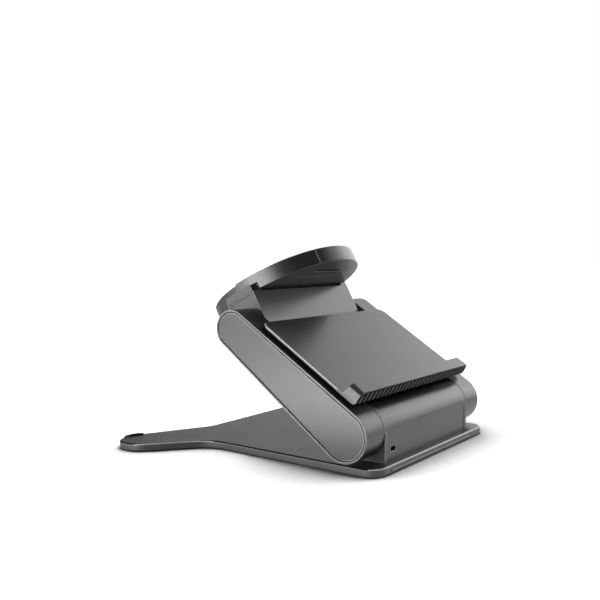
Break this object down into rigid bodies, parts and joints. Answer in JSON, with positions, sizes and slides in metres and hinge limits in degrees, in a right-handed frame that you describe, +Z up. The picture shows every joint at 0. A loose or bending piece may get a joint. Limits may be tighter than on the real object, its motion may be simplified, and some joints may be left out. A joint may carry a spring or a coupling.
{
  "type": "folding pen display stand",
  "caption": "Folding desk stand: flat base with a rear leg, hinged forked arm, sliding tray with a ribbed lip, and a tilting round head with a flip-up stop.",
  "frame": {"origin": "on the floor, on the face of the front rubber foot, straight below the lower hinge axis at the middle of its length", "axes": "+X towards the side the tray lip faces, +Y along both hinge axes, +Z up"},
  "size_m": [0.1749, 0.1792, 0.1273],
  "materials": {
    "base_paint": "satin",
    "body_plastic": "satin",
    "tray_paint": "satin",
    "head_plastic": "satin",
    "dark_plastic": "matte",
    "trim_plastic": "satin",
    "rubber": "matte",
    "steel": "brushed",
    "bright_steel": "polished",
    "brass": "satin"
  },
  "bodies": {
    "base": {"base_plate": "base_paint", "base_underplate": "dark_plastic", "foot_pads": "rubber", "base_screws": "bright_steel", "front_trim": "trim_plastic", "tip_guide": "dark_plastic", "hinge_block": "body_plastic", "block_ends": "body_plastic", "lock_slot_insert": "dark_plastic", "lower_brackets": "steel", "lower_bushes": "brass", "lower_washers": "bright_steel"},
    "arm": {"arm_shell": "body_plastic", "arm_cap_left": "body_plastic", "arm_cap_right": "body_plastic", "arm_side_frames": "steel", "arm_spine": "steel", "arm_screws": "bright_steel", "lower_pins": "bright_steel", "lower_nuts": "bright_steel", "upper_pins": "bright_steel", "upper_nuts": "bright_steel", "upper_collars": "head_plastic", "tray_rails": "steel"},
    "tray": {"tray_plate": "tray_paint", "lip_grip": "rubber", "tray_runners": "dark_plastic"},
    "head": {"head_block": "head_plastic", "head_side_panels": "head_plastic", "head_ears": "head_plastic", "upper_bushes": "brass", "upper_washers": "bright_steel", "head_brackets": "steel", "head_screws": "bright_steel", "disc_shell": "head_plastic", "disc_rear_cover": "head_plastic", "disc_core": "steel", "disc_pad": "rubber", "tab_pin": "bright_steel"},
    "stop": {"flip_tab": "head_plastic"}
  },
  "joints": [
    {"name": "base_hinge", "type": "hinge", "parent": "base", "child": "arm", "pos_m": [0, 0, 0.0219], "axis": [0, 1, 0], "range_deg": [-22, 40]},
    {"name": "head_hinge", "type": "hinge", "parent": "arm", "child": "head", "pos_m": [-0.07893, 0, 0.07707], "axis": [0, 1, 0], "range_deg": [-10, 61]},
    {"name": "tray_slide", "type": "slide", "parent": "arm", "child": "tray", "axis": [0.8394, 0, -0.5436], "range_m": [0, 0.018]},
    {"name": "stop_hinge", "type": "hinge", "parent": "head", "child": "stop", "pos_m": [-0.06788, 0, 0.11506], "axis": [0, -1, 0], "range_deg": [0, 90]}
  ]
}
